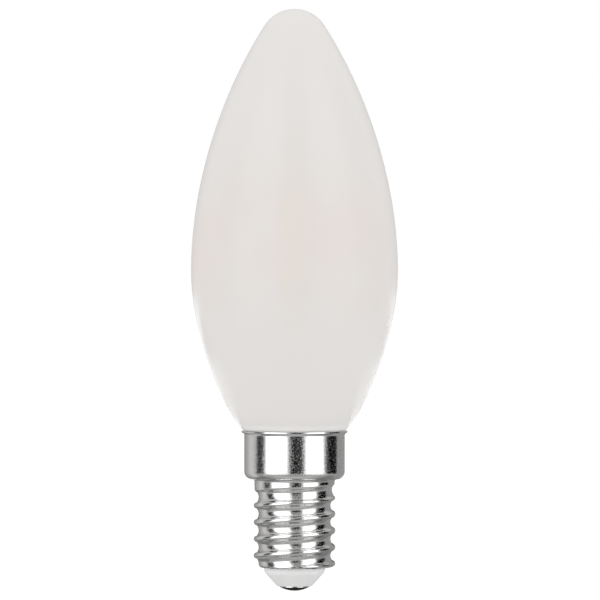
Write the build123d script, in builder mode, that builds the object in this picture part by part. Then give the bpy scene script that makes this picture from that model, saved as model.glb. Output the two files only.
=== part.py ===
from build123d import *
from math import ceil
import os

# Candle lamp: a sealed opal glass bulb on an E14 screw cap. Sizes are in millimetres and degrees.
# Z is the lamp's axis, the origin is the tip of the centre contact, and the glass points up.
# Every round is turned in narrow conical bands, and the thread is made of flats, as the sizes below say.

# Centre contact
contact_diameter = 5.0
contact_dome_height = 0.65
contact_edge = 0.15

# Insulator
insulator_drop = 3.15  # from its flat end up to the cap's rim
insulator_end_diameter = 5.9
insulator_cone_height = 2.45
insulator_cone_radius = 0.9
flange_thickness = 2.0

# Screw cap, pressed from sheet
wall = 0.3  # of the rim and the skirt
fit_clearance = 0.1
screw_length = 14.95  # from the rim up to the shoulder
screw_diameter = 13.8  # over the thread's crests
screw_bore_diameter = 11.6
thread_pitch = 2.822
thread_depth = 0.82
thread_start = 12.6  # bearing of the crest above the rim, right-hand from +X
thread_steps = 5  # sections to a turn
thread_sides = 20  # flats round a section
collar_length = 2.5  # from the end of the thread up to the shoulder
collar_diameter = 13.4
rim_height = 0.7
rim_inset = 0.5  # of the tapered rim below the thread
rim_ledge = 0.55  # from the bore in to the rim's opening
skirt_diameter = 17.0
skirt_length = 8.1
shoulder_flat = 0.5  # from the collar out to the skirt's round corner
seat_share = 0.6  # of the corner's inner radius, filled by the seat of the glass
lip_overhang = 0.45
lip_thickness = 0.45
lip_slope = 0.2  # height of the flare below the lip

# Glass bulb, as heights above the cap's lip
glass_height = 71.4
belly_height = 27.1
belly_diameter = 35.0
tip_radius = 6.0
tip_angle = 33.0  # between the axis and the flank where the round tip begins
upper_belly_pull = 15.2
tip_pull = 13.0
lower_belly_pull = 11.3
mouth_pull = 3.7
mouth_angle = 62.0  # between the axis and the glass where it enters the cap
mouth_depth = 0.15
cement_gap = 0.1

# Widths of the bands
dome_band = 1.3
corner_band = 1.0
tip_band = 2.0
flank_band = 5.6

# Heights that follow from the sizes above
insulator_end = contact_dome_height + contact_edge
cap_rim = insulator_end + insulator_drop
rim_top = cap_rim + wall
shoulder = cap_rim + screw_length
lip = shoulder + skirt_length

# Radii that follow from the sizes above, and the seat's height
skirt_bore = skirt_diameter / 2 - wall
neck_radius = skirt_bore - cement_gap
lip_radius = skirt_diameter / 2 + lip_overhang
skirt_radius = (skirt_diameter - collar_diameter) / 2 - shoulder_flat
seat = shoulder + wall + (skirt_radius - wall) * seat_share
screw_bore = screw_bore_diameter / 2
thread_radius = (screw_diameter - thread_depth) / 2
thread_base = cap_rim + rim_height
thread_length = screw_length - rim_height - collar_length
rim_bore = screw_bore - rim_ledge
insulator_radius = rim_bore - fit_clearance
flange_radius = screw_bore - fit_clearance


def banded(curve, width):
    """Points that part a curve into equal bands of about this width."""
    count = max(1, round(curve.length / width))
    return [curve @ (i / count) for i in range(count + 1)]


def half_section(corners, radii):
    """Closed half section in the XZ plane, with a radius for each of its corners."""
    with BuildLine(mode=Mode.PRIVATE) as outline:
        FilletPolyline(*corners, radius=radii, close=True)
    points = []
    for edge in outline.wire().order_edges():
        width = corner_band if edge.geom_type == GeomType.CIRCLE else edge.length
        points += banded(edge, width)[:-1]
    with BuildSketch(Plane.XZ) as section:
        with BuildLine():
            Polyline(*points, close=True)
        make_face()
    return section.sketch


def thread_section(height, inset=0):
    """Section of the thread at a height above its base, set off the axis towards the crest there."""
    bearing = thread_start + 360 * height / thread_pitch
    with BuildSketch(Plane.XY.offset(thread_base + height), mode=Mode.PRIVATE) as section:
        with Locations(Vector(thread_depth / 2, 0).rotate(Axis.Z, bearing)):
            RegularPolygon(thread_radius - inset, thread_sides)
    return section.sketch


os.makedirs("parts", exist_ok=True)

with BuildPart() as centre_contact:
    dome = TangentArc((0, 0), (contact_diameter / 2, contact_dome_height), tangent=(1, 0), mode=Mode.PRIVATE)
    with BuildSketch(Plane.XZ):
        with BuildLine():
            Polyline(
                *banded(dome, dome_band),
                (contact_diameter / 2, insulator_end),
                (0, insulator_end),
                close=True,
            )
        make_face()
    revolve(axis=Axis.Z)
centre_contact.part.label = "centre_contact"
export_step(centre_contact.part, "parts/centre_contact.step")

with BuildPart() as insulator:
    section = half_section(
        (
            (0, insulator_end),
            (insulator_end_diameter / 2, insulator_end),
            (insulator_radius, insulator_end + insulator_cone_height),
            (insulator_radius, rim_top),
            (flange_radius, rim_top),
            (flange_radius, rim_top + flange_thickness),
            (0, rim_top + flange_thickness),
        ),
        (0, 0, insulator_cone_radius, 0, 0, 0, 0),
    )
    revolve(section, axis=Axis.Z)
insulator.part.label = "insulator"
export_step(insulator.part, "parts/insulator.step")

with BuildPart() as screw_cap:
    # Thread: its section circles the axis as it rises from the tapered rim
    step = thread_pitch / thread_steps
    heights = [i * step for i in range(ceil(thread_length / step - 0.01))] + [thread_length]
    loft([thread_section(-rim_height, rim_inset)] + [thread_section(height) for height in heights], ruled=True)
    # Collar, shoulder, skirt and flared lip
    section = half_section(
        (
            (0, thread_base + thread_length),
            (collar_diameter / 2, thread_base + thread_length),
            (collar_diameter / 2, shoulder),
            (skirt_diameter / 2, shoulder),
            (skirt_diameter / 2, lip - lip_thickness - lip_slope),
            (lip_radius, lip - lip_thickness),
            (lip_radius, lip),
            (0, lip),
        ),
        (0, 0, 0, skirt_radius, 0, 0, 0, 0),
    )
    revolve(section, axis=Axis.Z)
    # Inside: rim opening, plain bore, seat for the neck and mouth of the lip
    with BuildSketch(Plane.XZ):
        with BuildLine():
            Polyline(
                (0, cap_rim),
                (rim_bore, cap_rim),
                (rim_bore, rim_top),
                (screw_bore, rim_top),
                (screw_bore, seat),
                (skirt_bore, seat),
                (skirt_bore, lip - lip_thickness - lip_slope),
                (lip_radius - lip_thickness, lip),
                (0, lip),
                close=True,
            )
        make_face()
    revolve(axis=Axis.Z, mode=Mode.SUBTRACT)
screw_cap.part.label = "screw_cap"
export_step(screw_cap.part, "parts/screw_cap.step")

with BuildPart() as glass_bulb:
    mouth = Vector(neck_radius, lip - mouth_depth)
    belly = Vector(belly_diameter / 2, lip + belly_height)
    tip = CenterArc((0, lip + glass_height - tip_radius), tip_radius, tip_angle, 90 - tip_angle, mode=Mode.PRIVATE)
    lower_flank = Bezier(
        mouth,
        mouth + Vector(0, mouth_pull).rotate(Axis.Z, -mouth_angle),
        belly - Vector(0, lower_belly_pull),
        belly,
        mode=Mode.PRIVATE,
    )
    upper_flank = Bezier(
        belly,
        belly + Vector(0, upper_belly_pull),
        tip @ 0 - (tip % 0) * tip_pull,
        tip @ 0,
        mode=Mode.PRIVATE,
    )
    with BuildSketch(Plane.XZ):
        with BuildLine():
            Polyline(
                (0, seat),
                (neck_radius, seat),
                *banded(lower_flank, flank_band)[:-1],
                *banded(upper_flank, flank_band)[:-1],
                *banded(tip, tip_band),
                close=True,
            )
        make_face()
    revolve(axis=Axis.Z)
glass_bulb.part.label = "glass_bulb"
export_step(glass_bulb.part, "parts/glass_bulb.step")
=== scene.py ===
import math

import bmesh
import bpy
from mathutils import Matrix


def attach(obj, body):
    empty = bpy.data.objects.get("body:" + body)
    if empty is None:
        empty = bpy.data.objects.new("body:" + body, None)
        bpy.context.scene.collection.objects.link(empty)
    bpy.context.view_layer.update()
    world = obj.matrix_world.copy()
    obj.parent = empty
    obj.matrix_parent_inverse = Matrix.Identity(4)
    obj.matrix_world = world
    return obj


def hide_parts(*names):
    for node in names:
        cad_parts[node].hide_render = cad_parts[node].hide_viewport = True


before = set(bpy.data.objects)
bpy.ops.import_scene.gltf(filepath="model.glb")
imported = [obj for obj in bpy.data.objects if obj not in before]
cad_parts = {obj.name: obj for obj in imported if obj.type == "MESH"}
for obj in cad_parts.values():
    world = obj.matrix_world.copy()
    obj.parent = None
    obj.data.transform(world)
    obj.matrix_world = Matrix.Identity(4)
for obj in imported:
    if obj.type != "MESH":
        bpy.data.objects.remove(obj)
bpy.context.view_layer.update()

# Candle lamp with an opal glass bulb and a plated screw cap.
# Profiles are in millimetres from the tip of the centre contact, as (radius, height).
# Finishes and the studio are in metres. Bearings are in degrees from the camera's side, positive to +X.
MM = 0.001
SAME_PLACE = 0.002  # points of a profile that are nearer than this are one
SLACK = 0.001  # by which an edge may pass the heights it has to lie between

# Centre contact
CONTACT_RADIUS = 2.5
DOME_HEIGHT = 0.65

# Insulator
INSULATOR_END = 0.8
INSULATOR_END_RADIUS = 2.95
CONE_TOP = 3.25
CONE_RADIUS = 5.15
FLANGE_RADIUS = 5.7
FLANGE_TOP = 6.25

# Screw cap, from its rim up to the lip
CAP_RIM = 3.95
RIM_TOP = 4.25
RIM_BORE = 5.25
SCREW_BORE = 5.8
THREAD_END = 16.4
COLLAR_START = 16.9
COLLAR_FOOT_RADIUS = 6.76
COLLAR_RADIUS = 6.8
SHOULDER = 18.9
SEAT = 19.8
SKIRT_RADIUS = 8.5
SKIRT_BORE = 8.2
BORE_END = 26.45
FLARE_START = 26.56
FLARE_END = 26.8
LIP = 27.07
LIP_RADIUS = 8.95
LIP_MOUTH = 8.47

# Right-hand knuckle thread
PITCH = 2.822
CREST_RADIUS = 6.9
ROOT_RADIUS = 6.08
CREST_ROUND = 0.58
ROOT_ROUND = 1.3
RIGHT_ROOT = 17.25  # height of the uppermost root on the +X side, before it levels out
GROOVE_TURNS = range(-1, 7)  # counted down from that root
SLEEVE_RADII = (6.15, 6.95)  # between which a vertex is on the outside of the plain sleeve
SLEEVE_LEAST = CAP_RIM - 0.01
SLEEVE_MOST = SHOULDER - 0.2

# Run-out of the thread, by the height of the groove's root
FADE_START = 15.9
FADE_END = 18.8
LEVEL_START = 16.0
LEVEL_END = 17.4
LEVEL_DROP = 0.35
LEVEL_SHARE = 0.9  # of the rise above LEVEL_END that is held back

# Glass bulb
NECK_RADIUS = 8.1
NECK_TOP = 26.85
BELLY_RADIUS = 17.5
BELLY_HEIGHT = 54.1
TIP_HEIGHT = 98.4


# Drawing and turning

def in_metres(point):
    """A profile's (radius, height) as a place in the XZ plane."""
    return (point[0] * MM, 0, point[1] * MM)


def start_profile(name, first):
    """One vertex in the XZ plane, left in edit mode."""
    bpy.ops.object.select_all(action="DESELECT")
    bpy.ops.mesh.primitive_plane_add(size=2 * MM, location=(0, 0, 0))
    piece = bpy.context.object
    piece.name = name
    piece.data.name = name
    bpy.ops.object.mode_set(mode="EDIT")
    bpy.ops.mesh.merge(type="CENTER")
    bpy.ops.transform.translate(value=in_metres(first))
    return piece


def start_curve(name, knots, steps):
    """A smooth profile, left in edit mode. Each knot is a place, the handle before it and the one after."""
    bpy.ops.object.select_all(action="DESELECT")
    bpy.ops.curve.primitive_bezier_curve_add(location=(0, 0, 0))
    piece = bpy.context.object
    piece.name = name
    curve = piece.data.splines[0]
    curve.bezier_points.add(len(knots) - len(curve.bezier_points))
    curve.resolution_u = steps
    for knot, (place, before, after) in zip(curve.bezier_points, knots):
        knot.handle_left_type = knot.handle_right_type = "FREE"
        knot.co = in_metres(place)
        knot.handle_left = in_metres(before)
        knot.handle_right = in_metres(after)
    bpy.ops.object.convert(target="MESH")
    piece = bpy.context.object
    piece.data.name = name
    bpy.ops.object.mode_set(mode="EDIT")
    return piece


def draw_on(last, points):
    """Extrudes the selected vertex from point to point."""
    for point in points:
        step = in_metres((point[0] - last[0], point[1] - last[1]))
        bpy.ops.mesh.extrude_region_move(TRANSFORM_OT_translate={"value": step})
        last = point


def pick_corner(piece, place):
    """Selects only the profile's vertex at this place."""
    bpy.ops.mesh.select_all(action="DESELECT")
    edited = bmesh.from_edit_mesh(piece.data)
    for vertex in edited.verts:
        if math.hypot(vertex.co.x / MM - place[0], vertex.co.z / MM - place[1]) < SAME_PLACE:
            vertex.select = True
    edited.select_flush_mode()
    bmesh.update_edit_mesh(piece.data)


def round_corner(piece, place, reach, segments):
    """Rounds a corner of the profile, from this far along its two edges."""
    pick_corner(piece, place)
    bpy.ops.mesh.bevel(
        offset=reach * MM, offset_type="OFFSET", segments=segments, profile=0.5, affect="VERTICES"
    )


def divide_edges(piece, low, high, inner, cuts):
    """Divides the profile's edges that lie between two heights and outside a radius."""
    bpy.ops.mesh.select_all(action="DESELECT")
    bpy.ops.mesh.select_mode(type="EDGE")
    edited = bmesh.from_edit_mesh(piece.data)
    for edge in edited.edges:
        heights = [v.co.z / MM for v in edge.verts]
        radii = [v.co.x / MM for v in edge.verts]
        between = min(heights) > low - SLACK and max(heights) < high + SLACK
        edge.select_set(between and min(radii) > inner)
    bmesh.update_edit_mesh(piece.data)
    bpy.ops.mesh.subdivide(number_cuts=cuts)
    bpy.ops.mesh.select_mode(type="VERT")


def merge_doubles():
    """Merges the points of the edited piece that meet."""
    bpy.ops.mesh.select_all(action="SELECT")
    bpy.ops.mesh.remove_doubles(threshold=SAME_PLACE * MM)


def turn(piece, steps):
    """Spins the profile about the lamp's axis, closes its seam and poles, and leaves edit mode."""
    bpy.ops.mesh.select_all(action="SELECT")
    bpy.ops.mesh.spin(steps=steps, angle=math.tau, center=(0, 0, 0), axis=(0, 0, 1))
    merge_doubles()
    bpy.ops.mesh.normals_make_consistent(inside=False)
    bpy.ops.object.mode_set(mode="OBJECT")


def finish_piece(piece, node, material, angle):
    """Smooths a turned piece, gives it its finish and puts it on the lamp."""
    bpy.ops.object.shade_smooth_by_angle(angle=math.radians(angle))
    piece.data.materials.clear()
    piece.data.materials.append(material)
    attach(piece, "root")
    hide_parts(node)


# Node helpers

# Colour sockets of a Mix node
MIX_FACTOR, MIX_FIRST, MIX_SECOND, MIX_RESULT = 0, 6, 7, 2


def socket_value(node, **values):
    """Sets input sockets by name, with spaces for underscores."""
    for name, value in values.items():
        node.inputs[name.replace("_", " ")].default_value = value


def add(tree, kind, x, y, **settings):
    """A new node at this place in the tree."""
    node = tree.nodes.new(kind)
    node.location = (x, y)
    for name, value in settings.items():
        setattr(node, name, value)
    return node


def add_math(tree, x, y, operation, first, second=None):
    """The result of a Math node on one or two sockets, of which the second may be a number."""
    node = add(tree, "ShaderNodeMath", x, y, operation=operation)
    tree.links.new(first, node.inputs[0])
    if isinstance(second, float):
        node.inputs[1].default_value = second
    elif second is not None:
        tree.links.new(second, node.inputs[1])
    return node.outputs[0]


def add_range(tree, x, y, source, start, end, low=0.0, high=1.0, kind="LINEAR"):
    """Takes a value that runs from start to end on to the span from low to high."""
    node = add(tree, "ShaderNodeMapRange", x, y, interpolation_type=kind)
    socket_value(node, From_Min=start, From_Max=end, To_Min=low, To_Max=high)
    tree.links.new(source, node.inputs["Value"])
    return node.outputs["Result"]


def mix_colours(tree, x, y, factor, first, second):
    """Mixes two colours, of which the first may be another node's."""
    node = add(tree, "ShaderNodeMix", x, y, data_type="RGBA")
    tree.links.new(factor, node.inputs[MIX_FACTOR])
    if isinstance(first, tuple):
        node.inputs[MIX_FIRST].default_value = (*first, 1)
    else:
        tree.links.new(first, node.inputs[MIX_FIRST])
    node.inputs[MIX_SECOND].default_value = (*second, 1)
    return node.outputs[MIX_RESULT]


def object_parts(tree, x, y):
    """The surface's own coordinates, as X, Y and Z."""
    place = add(tree, "ShaderNodeTexCoord", x, y)
    parts = add(tree, "ShaderNodeSeparateXYZ", x + 200, y)
    tree.links.new(place.outputs["Object"], parts.inputs["Vector"])
    return parts


def start_material(name):
    """A material with one Principled shader."""
    material = bpy.data.materials.new(name)
    material.use_nodes = True
    tree = material.node_tree
    tree.nodes.clear()
    output = add(tree, "ShaderNodeOutputMaterial", 900, 0)
    shader = add(tree, "ShaderNodeBsdfPrincipled", 600, 0)
    tree.links.new(shader.outputs["BSDF"], output.inputs["Surface"])
    return material, tree, shader


def make_noise_group(name, detail, roughness, start, end, stepped, plain=None):
    """Noise on the piece's own coordinates, stepped between two of its values, and also plain if named."""
    group = bpy.data.node_groups.new(name, "ShaderNodeTree")
    group.interface.new_socket("Scale", in_out="INPUT", socket_type="NodeSocketFloat")
    if plain:
        group.interface.new_socket(plain, in_out="OUTPUT", socket_type="NodeSocketFloat")
    group.interface.new_socket(stepped, in_out="OUTPUT", socket_type="NodeSocketFloat")
    entry = add(group, "NodeGroupInput", -800, 0)
    leave = add(group, "NodeGroupOutput", 300, 0)
    place = add(group, "ShaderNodeTexCoord", -800, -200)
    noise = add(group, "ShaderNodeTexNoise", -500, 0)
    socket_value(noise, Detail=detail, Roughness=roughness)
    group.links.new(entry.outputs["Scale"], noise.inputs["Scale"])
    group.links.new(place.outputs["Object"], noise.inputs["Vector"])
    if plain:
        group.links.new(noise.outputs["Fac"], leave.inputs[plain])
    step = add_range(group, 0, -150, noise.outputs["Fac"], start, end, kind="SMOOTHSTEP")
    group.links.new(step, leave.inputs[stepped])
    return group


def place_group(tree, group, x, y, scale):
    """A noise group in a material, at its own scale."""
    node = add(tree, "ShaderNodeGroup", x, y, node_tree=group)
    node.inputs["Scale"].default_value = scale
    return node


def vary_gloss(tree, shader, source, smooth, dull):
    """Roughness that runs from smooth to dull with the source."""
    gloss = add_range(tree, 100, -50, source, 0.0, 1.0, smooth, dull)
    tree.links.new(gloss, shader.inputs["Roughness"])


def raise_skin(tree, shader, skin, strength, distance):
    """The grain's height as bump."""
    bump = add(tree, "ShaderNodeBump", 100, -250)
    socket_value(bump, Strength=strength, Distance=distance)
    tree.links.new(skin.outputs["Height"], bump.inputs["Height"])
    tree.links.new(bump.outputs["Normal"], shader.inputs["Normal"])


# Finishes

# Fine grain of a plated or moulded skin: a height for bump and a mask of its specks
skin_grain = make_noise_group(
    "skin_grain", detail=1.5, roughness=0.55, start=0.5, end=0.62, stepped="Specks", plain="Height"
)
# Slow, faint unevenness of a surface
slow_mottle = make_noise_group(
    "slow_mottle", detail=3.0, roughness=0.5, start=0.3, end=0.7, stepped="Factor"
)


def make_opal_glass():
    """Warm white opal glass, satin, a little pinker in its middle, where shade of the filaments inside is
    painted with their own tint, and paler by the cap's lip, where light is painted.
    """
    plain = (0.806, 0.784, 0.763)
    # Filament shade painted on the glass, with the filaments' own tint: for the middle's blotches and for
    # the upright streaks
    filament_shade_tint = (0.812, 0.756, 0.724)
    streak_shade_tint = (0.822, 0.763, 0.714)
    # Painted light for the glass close to the cap's lip
    pale = (0.985, 0.968, 0.955)
    material, tree, shader = start_material("opal_glass")
    parts = object_parts(tree, -1400, 0)
    height = parts.outputs["Z"]

    # Height of the middle, where the filaments stand, and its blotches of painted filament shade and tint
    rise = add_range(tree, -950, 150, height, start=0.040, end=0.056, kind="SMOOTHERSTEP")
    fall = add_range(tree, -950, -120, height, start=0.086, end=0.058, kind="SMOOTHERSTEP")
    middle = add_math(tree, -700, 50, "MULTIPLY", rise, fall)
    cloud = place_group(tree, slow_mottle, -700, 400, scale=55.0)
    blotch_shade_tint = add_math(tree, -450, 250, "MULTIPLY", cloud.outputs["Factor"], middle)

    # Four upright streaks of painted filament shade and tint, one towards each side
    around = add_math(tree, -950, -400, "ARCTAN2", parts.outputs["Y"], parts.outputs["X"])
    fourth = add_math(tree, -780, -400, "MULTIPLY", around, 4.0)
    wave = add_math(tree, -620, -400, "COSINE", fourth)
    streak_bearing_mask = add_range(tree, -460, -400, wave, start=0.72, end=1.0, kind="SMOOTHERSTEP")
    streak_shade_mask = add_math(tree, -280, -300, "MULTIPLY", streak_bearing_mask, middle)
    share = add_math(tree, -100, -300, "MULTIPLY", streak_shade_mask, 0.55)

    # Painted light close to the cap's lip, lifting the shade that the lip casts on the glass
    neck = add_range(tree, 100, 350, height, start=0.0285, end=0.0271, kind="SMOOTHSTEP")

    blotch_shaded = mix_colours(tree, -150, 200, blotch_shade_tint, plain, filament_shade_tint)
    streak_shaded = mix_colours(tree, 100, 100, share, blotch_shaded, streak_shade_tint)
    neck_lit = mix_colours(tree, 350, 100, neck, streak_shaded, pale)
    tree.links.new(neck_lit, shader.inputs["Base Color"])
    vary_gloss(tree, shader, cloud.outputs["Factor"], smooth=0.20, dull=0.27)
    socket_value(
        shader,
        IOR=1.23,
        Subsurface_Weight=0.25,
        Subsurface_Radius=(1, 1, 1),
        Subsurface_Scale=0.004,
        Sheen_Weight=0.22,
        Sheen_Roughness=0.3,
    )
    return material


def make_cap_metal():
    """Bright nickel plating over pressed sheet, with the sheet's fine grain and dull smears."""
    bright = (0.735, 0.732, 0.727)
    smeared = (0.69, 0.687, 0.682)
    material, tree, shader = start_material("cap_metal")
    skin = place_group(tree, skin_grain, -700, -200, scale=6400.0)
    smear = place_group(tree, slow_mottle, -700, 200, scale=420.0)
    tone = mix_colours(tree, -200, 250, smear.outputs["Factor"], bright, smeared)
    tree.links.new(tone, shader.inputs["Base Color"])
    vary_gloss(tree, shader, skin.outputs["Specks"], smooth=0.09, dull=0.30)
    raise_skin(tree, shader, skin, strength=0.5, distance=0.00002)
    socket_value(shader, Metallic=1.0)
    return material


def make_insulator():
    """Pale grey moulded insulator, smooth and nearly matte."""
    pale = (0.80, 0.798, 0.795)
    grey = (0.77, 0.768, 0.765)
    white = (0.97, 0.968, 0.965)
    material, tree, shader = start_material("insulator")
    cloud = place_group(tree, slow_mottle, -700, 200, scale=300.0)
    skin = place_group(tree, skin_grain, -700, -200, scale=3500.0)
    tone = mix_colours(tree, -200, 200, cloud.outputs["Factor"], pale, grey)
    # Whiter towards the top of the cone, under the cap's rim
    height = object_parts(tree, -700, 450).outputs["Z"]
    upper_band_mask = add_range(tree, -250, 450, height, start=0.0026, end=0.0037, kind="SMOOTHSTEP")
    upper_band_whitened = mix_colours(tree, 100, 250, upper_band_mask, tone, white)
    tree.links.new(upper_band_whitened, shader.inputs["Base Color"])
    vary_gloss(tree, shader, cloud.outputs["Factor"], smooth=0.28, dull=0.36)
    raise_skin(tree, shader, skin, strength=0.15, distance=0.00001)
    socket_value(
        shader,
        IOR=1.45,
        Subsurface_Weight=0.5,
        Subsurface_Radius=(1, 1, 1),
        Subsurface_Scale=0.0015,
    )
    return material


def make_contact_metal():
    """Dull plated button, a little stained."""
    plated = (0.62, 0.61, 0.59)
    stained = (0.50, 0.49, 0.47)
    material, tree, shader = start_material("contact_metal")
    stain = place_group(tree, slow_mottle, -700, 200, scale=900.0)
    skin = place_group(tree, skin_grain, -700, -200, scale=4200.0)
    tone = mix_colours(tree, -200, 200, stain.outputs["Factor"], plated, stained)
    tree.links.new(tone, shader.inputs["Base Color"])
    vary_gloss(tree, shader, stain.outputs["Factor"], smooth=0.16, dull=0.28)
    raise_skin(tree, shader, skin, strength=0.3, distance=0.00001)
    socket_value(shader, Metallic=1.0)
    return material


# Glass bulb: a flank drawn as a curve and turned

def model_glass():
    """Turns the flank, from its mouth in the cap to its tip, with a neck down to the seat."""
    mouth = (NECK_RADIUS, NECK_TOP)
    knots = (
        (mouth, (NECK_RADIUS, 26.0), (11.367, 28.587)),
        ((BELLY_RADIUS, BELLY_HEIGHT), (BELLY_RADIUS, 42.8), (BELLY_RADIUS, 69.3)),
        ((5.032, 95.668), (12.112, 84.765), (3.925, 97.372)),
        ((0.0, TIP_HEIGHT), (2.032, TIP_HEIGHT), (-2.0, TIP_HEIGHT)),
    )
    piece = start_curve("glass_envelope", knots, steps=40)
    pick_corner(piece, mouth)
    draw_on(mouth, ((NECK_RADIUS, SEAT), (0.0, SEAT)))
    turn(piece, steps=160)
    finish_piece(piece, "glass_bulb", make_opal_glass(), angle=40)


# Screw cap: one pressed section, then the thread

def groove_depth(reach):
    """Depth of the thread below its crests at this distance from the middle of a crest."""
    reach = abs(reach)
    depth = CREST_RADIUS - ROOT_RADIUS
    half = PITCH / 2
    # The crest's round and the root's round meet in a common tangent
    rounds = CREST_ROUND + ROOT_ROUND
    span = math.hypot(half, rounds - depth)
    lean = math.asin(min(1, rounds / span)) - math.atan2(rounds - depth, half)
    crest_end = CREST_ROUND * math.sin(lean)
    root_start = half - ROOT_ROUND * math.sin(lean)
    if reach <= crest_end:
        return CREST_ROUND - math.sqrt(CREST_ROUND ** 2 - reach ** 2)
    if reach >= root_start:
        rest = half - reach
        return depth - ROOT_ROUND + math.sqrt(ROOT_ROUND ** 2 - rest ** 2)
    return CREST_ROUND * (1 - math.cos(lean)) + (reach - crest_end) * math.tan(lean)


def ease(value, low, high):
    """Goes smoothly from 0 at low to 1 at high."""
    share = min(1, max(0, (value - low) / (high - low)))
    return share * share * (3 - 2 * share)


def press_thread(piece):
    """Presses the right-hand groove into the plain sleeve, with a last turn that levels out and fades."""
    for vertex in piece.data.vertices:
        radius = math.hypot(vertex.co.x, vertex.co.y) / MM
        height = vertex.co.z / MM
        if not SLEEVE_RADII[0] <= radius <= SLEEVE_RADII[1]:
            continue
        if not SLEEVE_LEAST <= height <= SLEEVE_MOST:
            continue
        angle = math.atan2(vertex.co.y, vertex.co.x)
        first = RIGHT_ROOT + PITCH * angle / math.tau
        deepest = 0
        for turn_number in GROOVE_TURNS:
            root = first - PITCH * turn_number
            fade = 1 - ease(root, FADE_START, FADE_END)
            drop = LEVEL_DROP * ease(root, LEVEL_START, LEVEL_END)
            level = root - drop - max(0, root - LEVEL_END) * LEVEL_SHARE
            away = abs(height - level)
            if away < PITCH / 2:
                deepest = max(deepest, fade * groove_depth(PITCH / 2 - away))
        scale = (radius - deepest) / radius
        vertex.co.x *= scale
        vertex.co.y *= scale
    piece.data.update()


def model_cap():
    """Turns the cap's section, finely divided on its outside, and presses the thread into it."""
    section = (
        (CREST_RADIUS, CAP_RIM),
        (CREST_RADIUS, THREAD_END),
        (COLLAR_FOOT_RADIUS, COLLAR_START),
        (COLLAR_RADIUS, SHOULDER),
        (SKIRT_RADIUS, SHOULDER),
        (SKIRT_RADIUS, FLARE_START),
        (LIP_RADIUS, FLARE_END),
        (LIP_RADIUS, LIP),
        (LIP_MOUTH, LIP),
        (SKIRT_BORE, BORE_END),
        (SKIRT_BORE, SEAT),
        (SCREW_BORE, SEAT),
        (SCREW_BORE, RIM_TOP),
        (RIM_BORE, RIM_TOP),
        (RIM_BORE, CAP_RIM),
    )
    # Corner, reach of its round, and segments
    rounds = (
        ((CREST_RADIUS, CAP_RIM), 0.7, 10),
        ((COLLAR_RADIUS, SHOULDER), 0.4, 8),
        ((SKIRT_RADIUS, SHOULDER), 1.3, 16),
        ((SKIRT_RADIUS, FLARE_START), 0.2, 8),
        ((LIP_RADIUS, FLARE_END), 0.06, 4),
        ((LIP_RADIUS, LIP), 0.04, 4),
        ((COLLAR_FOOT_RADIUS, COLLAR_START), 0.3, 4),
        ((CREST_RADIUS, THREAD_END), 0.3, 4),
    )
    # Edges to divide: lower and upper height, radius that they lie outside, and cuts
    divisions = (
        (4.6, 16.2, 6.6, 110),
        (16.65, 16.95, 6.5, 3),
        (17.1, 18.55, 6.5, 14),
        (20.1, 26.37, 8.4, 27),
        (26.84, LIP - 0.03, 8.9, 3),
    )
    piece = start_profile("cap_shell", section[0])
    draw_on(section[0], section[1:] + section[:1])
    merge_doubles()
    for corner, reach, segments in rounds:
        round_corner(piece, corner, reach, segments)
    for low, high, inner, cuts in divisions:
        divide_edges(piece, low, high, inner, cuts)
    turn(piece, steps=192)
    press_thread(piece)
    finish_piece(piece, "screw_cap", make_cap_metal(), angle=50)


# Insulator: the cone under the rim and its flange inside the cap

def model_insulator():
    """Turns the cone and its flange, with rounds on its two visible edges."""
    section = (
        (0.0, INSULATOR_END),
        (INSULATOR_END_RADIUS, INSULATOR_END),
        (CONE_RADIUS, CONE_TOP),
        (CONE_RADIUS, RIM_TOP),
        (FLANGE_RADIUS, RIM_TOP),
        (FLANGE_RADIUS, FLANGE_TOP),
        (0.0, FLANGE_TOP),
    )
    piece = start_profile("insulator_cone", section[0])
    draw_on(section[0], section[1:])
    round_corner(piece, (CONE_RADIUS, CONE_TOP), reach=0.45, segments=8)
    round_corner(piece, (INSULATOR_END_RADIUS, INSULATOR_END), reach=0.22, segments=6)
    turn(piece, steps=128)
    finish_piece(piece, "insulator", make_insulator(), angle=40)


# Centre contact: a shallow button

def model_contact():
    """Turns the dome and the short edge above it."""
    edge = (CONTACT_RADIUS, DOME_HEIGHT)
    knots = (
        ((0.0, 0.0), (-0.8, 0.0), (0.85, 0.0)),
        (edge, (1.72, 0.21), (2.6, 0.72)),
    )
    piece = start_curve("contact_button", knots, steps=20)
    pick_corner(piece, edge)
    draw_on(edge, ((CONTACT_RADIUS, INSULATOR_END), (0.0, INSULATOR_END)))
    turn(piece, steps=96)
    finish_piece(piece, "centre_contact", make_contact_metal(), angle=40)


model_glass()
model_cap()
model_insulator()
model_contact()


# Floor, world and studio cards

WHITE = (1, 1, 1)
WARM_WHITE = (1, 0.99, 0.985)
FLOOR_SIZE = 12
FLOOR_HEIGHT = -0.05
FLOOR_LIFT = 0.14  # glow that takes the lit floor to white where it is seen


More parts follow.
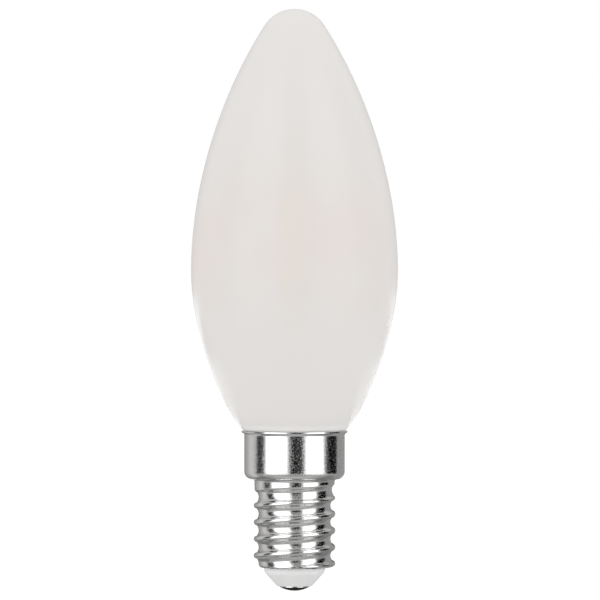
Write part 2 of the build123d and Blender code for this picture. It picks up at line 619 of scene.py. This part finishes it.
def make_floor():
    """A plain pale floor that is white to the camera and in reflections."""
    bpy.ops.object.select_all(action="DESELECT")
    bpy.ops.mesh.primitive_plane_add(size=FLOOR_SIZE, location=(0, 0, FLOOR_HEIGHT))
    floor = bpy.context.object
    floor.name = "studio_floor"
    material = bpy.data.materials.new("studio_floor")
    material.use_nodes = True
    tree = material.node_tree
    shader = tree.nodes["Principled BSDF"]
    socket_value(
        shader,
        Base_Color=(0.9, 0.9, 0.9, 1),
        Roughness=0.9,
        Specular_IOR_Level=0.0,
        Emission_Color=(*WHITE, 1),
    )
    rays = add(tree, "ShaderNodeLightPath", -700, -200).outputs
    seen = add_math(tree, -450, -200, "MAXIMUM", rays["Is Camera Ray"], rays["Is Glossy Ray"])
    shown = add_math(tree, -250, -200, "MAXIMUM", seen, rays["Is Transmission Ray"])
    lift = add_math(tree, -50, -200, "MULTIPLY", shown, FLOOR_LIFT)
    tree.links.new(lift, shader.inputs["Emission Strength"])
    floor.data.materials.append(material)


def make_world():
    """Even white light from all sides."""
    world = bpy.data.worlds.new("studio_world")
    bpy.context.scene.world = world
    world.use_nodes = True
    background = world.node_tree.nodes["Background"]
    socket_value(background, Color=(*WHITE, 1), Strength=1.0)


def make_card_material(name, colour, strength):
    """A card's even glow, which is seen but isn't sampled as a light."""
    material = bpy.data.materials.new(name)
    material.use_nodes = True
    tree = material.node_tree
    tree.nodes.clear()
    output = add(tree, "ShaderNodeOutputMaterial", 300, 0)
    glow = add(tree, "ShaderNodeEmission", 0, 0)
    socket_value(glow, Color=(*colour, 1), Strength=strength)
    tree.links.new(glow.outputs["Emission"], output.inputs["Surface"])
    material.cycles.emission_sampling = "NONE"
    return material


def add_card(name, place, tilt, size, colour, strength):
    """A card that shows in reflections and nowhere else."""
    bpy.ops.object.select_all(action="DESELECT")
    bpy.ops.mesh.primitive_plane_add(size=1, location=place, rotation=tilt)
    card = bpy.context.object
    card.name = name
    card.scale = (*size, 1)
    bpy.ops.object.transform_apply(location=True, rotation=True, scale=True)
    card.data.materials.append(make_card_material(name, colour, strength))
    card.visible_camera = False
    card.visible_diffuse = False
    card.visible_transmission = False
    card.visible_volume_scatter = False
    card.visible_shadow = False
    return card


def lay_card(name, left, right, front, back, height, strength):
    """A level card between two sides."""
    place = ((left + right) / 2, (front + back) / 2, height)
    return add_card(name, place, (0, 0, 0), (right - left, back - front), WHITE, strength)


def lay_strip(name, start, end, near, far, height, strength):
    """A level card between two bearings and two distances."""
    bearing = math.radians((start + end) / 2)
    middle = (near + far) / 2
    width = 2 * middle * math.tan(math.radians(end - start) / 2)
    place = (middle * math.sin(bearing), -middle * math.cos(bearing), height)
    return add_card(name, place, (0, 0, bearing), (width, far - near), WHITE, strength)


def stand_card(name, start, end, low, high, distance, colour, strength):
    """An upright card between two bearings and two heights."""
    bearing = math.radians((start + end) / 2)
    width = 2 * distance * math.tan(math.radians(end - start) / 2)
    place = (distance * math.sin(bearing), -distance * math.cos(bearing), (low + high) / 2)
    return add_card(name, place, (math.pi / 2, 0, bearing), (width, high - low), colour, strength)


def clear_underside(card):
    """Lets a level card be seen from above only."""
    tree = card.data.materials[0].node_tree
    side = add(tree, "ShaderNodeNewGeometry", 0, 250)
    clear = add(tree, "ShaderNodeBsdfTransparent", 0, -150)
    choice = add(tree, "ShaderNodeMixShader", 150, 0)
    tree.links.new(side.outputs["Backfacing"], choice.inputs[0])
    tree.links.new(tree.nodes["Emission"].outputs["Emission"], choice.inputs[1])
    tree.links.new(clear.outputs["BSDF"], choice.inputs[2])
    tree.links.new(choice.outputs["Shader"], tree.nodes["Material Output"].inputs["Surface"])


# Level cards: name, left, right, front, back, height and strength
LEVEL_CARDS = (
    ("shade_card", -0.006, 0.006, -0.004, 0.008, -0.0025, 0.03),
    ("rear_table", -0.12, 0.12, -0.012, 0.03, -0.003, 0.42),
    ("dim_table_left", -0.045, -0.012, -0.004, 0.03, -0.0027, 0.24),
    ("dim_table_right", 0.012, 0.045, -0.004, 0.03, -0.0027, 0.24),
    ("rear_glow", -0.12, 0.12, 0.055, 0.3, -0.003, 1.5),
    ("far_glow", -0.4, 0.4, 0.3, 0.85, -0.003, 1.5),
    ("wide_table", -1.2, 1.2, -0.6, 1.2, -0.043, 0.42),
    ("near_table", -0.05, 0.05, -0.05, 0.03, -0.0405, 0.62),
    ("ceiling", -0.9, 0.9, -0.9, 0.9, 0.46, 0.6),
)

# Shelves beside and behind the lip, seen from above only: name, left, right, front and back
SHELF_HEIGHT = 0.0272
SHELF_STRENGTH = 1.4
SHELVES = (
    ("shelf_back", -0.036, 0.036, 0.0096, 0.0145),
    ("shelf_left", -0.036, -0.0096, 0.0, 0.0096),
    ("shelf_right", 0.0096, 0.036, 0.0, 0.0096),
)

# Strips of the table in front: name, first and last bearing, nearest and farthest distance, and strength
STRIP_HEIGHT = -0.041
STRIPS = (
    ("table_left_far", -71, -14, 0.18, 0.30, 1.25),
    ("table_left_mid", -71, -14, 0.105, 0.18, 0.72),
    ("table_right_far", 24, 72, 0.18, 0.30, 1.25),
    ("table_right_mid", 24, 72, 0.105, 0.18, 0.72),
)

# Low fences round the back of the cap: name, first and last bearing, and strength
FENCE_LOW = -0.003
FENCE_HIGH = 0.0262
FENCE_DISTANCE = 0.032
FENCES = (
    ("fence_left", 247, 266, 0.72),
    ("fence_mid_left", 240, 247, 0.59),
    ("fence_far_left", 232, 240, 0.50),
    ("fence_dim_left", 214, 232, 0.40),
    ("fence_dark_left", 200, 214, 0.2),
    ("fence_bright", 166, 200, 1.0),
    ("fence_dark_right", 152, 166, 0.2),
    ("fence_right", 108, 152, 0.37),
)

# Softboxes and dark flags: name, first and last bearing, lower and upper end, distance and strength
CARD_FOOT = -0.042
CARD_TOP = 0.43
FRONT_SPLIT = 0.085  # where the dark front flag gives way to a grey one
LEFT_TOP = 0.22
RIGHT_TOP = 0.30
BOXES_AND_FLAGS = (
    ("softbox_left", -67.4, -14, CARD_FOOT, CARD_TOP, 0.30, 2.3),
    ("softbox_right", 24, 68, CARD_FOOT, CARD_TOP, 0.30, 2.3),
    ("flag_front", -9, 18, CARD_FOOT, FRONT_SPLIT, 0.28, 0.02),
    ("flag_front_upper", -9, 18, FRONT_SPLIT, CARD_TOP, 0.28, 0.30),
    ("flag_front_left", -14, -9, CARD_FOOT, CARD_TOP, 0.29, 0.36),
    ("flag_front_right", 18, 23, CARD_FOOT, CARD_TOP, 0.29, 0.36),
    ("flag_edge_left", -18, -14, CARD_FOOT, CARD_TOP, 0.29, 1.05),
    ("flag_edge_right", 23, 27, CARD_FOOT, CARD_TOP, 0.29, 1.05),
    ("flag_left", -96, -75.4, CARD_FOOT, LEFT_TOP, 0.32, 0.03),
    ("flag_left_edge", -75.4, -71.4, CARD_FOOT, LEFT_TOP, 0.31, 0.35),
    ("flag_left_end", -71.4, -67.4, CARD_FOOT, LEFT_TOP, 0.31, 0.85),
    ("flag_right", 81, 113, CARD_FOOT, RIGHT_TOP, 0.32, 0.0),
    ("flag_right_core", 76, 81, CARD_FOOT, RIGHT_TOP, 0.31, 0.10),
    ("flag_right_edge", 72, 76, CARD_FOOT, RIGHT_TOP, 0.31, 0.42),
    ("flag_right_end", 68, 72, CARD_FOOT, RIGHT_TOP, 0.31, 0.9),
)

# Walls of the room: name, first and last bearing, and strength
WALL_HIGH = 1.8
WALL_DISTANCE = 1.0
WALLS = (
    ("wall_left", -145, -72, 0.58),
    ("wall_back_left", -181, -145, 0.42),
    ("wall_back_right", 145, 181, 0.42),
    ("wall_right", 73, 145, 0.42),
)

make_world()
make_floor()
for name, left, right, front, back, height, strength in LEVEL_CARDS:
    lay_card(name, left, right, front, back, height, strength)
for name, left, right, front, back in SHELVES:
    clear_underside(lay_card(name, left, right, front, back, SHELF_HEIGHT, SHELF_STRENGTH))
for name, start, end, near, far, strength in STRIPS:
    lay_strip(name, start, end, near, far, STRIP_HEIGHT, strength)
for name, start, end, strength in FENCES:
    stand_card(name, start, end, FENCE_LOW, FENCE_HIGH, FENCE_DISTANCE, WARM_WHITE, strength)
for name, start, end, low, high, distance, strength in BOXES_AND_FLAGS:
    stand_card(name, start, end, low, high, distance, WHITE, strength)
for name, start, end, strength in WALLS:
    stand_card(name, start, end, CARD_FOOT, WALL_HIGH, WALL_DISTANCE, WARM_WHITE, strength)


# Camera

CAMERA_PLACE = (0.00093, -1.3, 0.072)
AIM_HEIGHT = 0.0492
HALF_FRAME = 0.05075  # half of the picture's width, at FRAME_DISTANCE
FRAME_DISTANCE = 1.3005


def make_camera():
    """A long lens a little above the lamp's middle."""
    camera_data = bpy.data.cameras.new("photo_camera")
    camera = bpy.data.objects.new("photo_camera", camera_data)
    bpy.context.scene.collection.objects.link(camera)
    camera_data.sensor_width = 36
    camera_data.angle = 2 * math.atan(HALF_FRAME / FRAME_DISTANCE)
    camera_data.clip_start = 0.01
    camera_data.clip_end = 50
    camera.location = CAMERA_PLACE
    dip = math.atan2(CAMERA_PLACE[2] - AIM_HEIGHT, -CAMERA_PLACE[1])
    camera.rotation_euler = (math.pi / 2 - dip, 0, 0)
    bpy.context.scene.camera = camera


make_camera()
bpy.context.scene.view_settings.view_transform = "Standard"

bpy.ops.object.select_all(action="DESELECT")
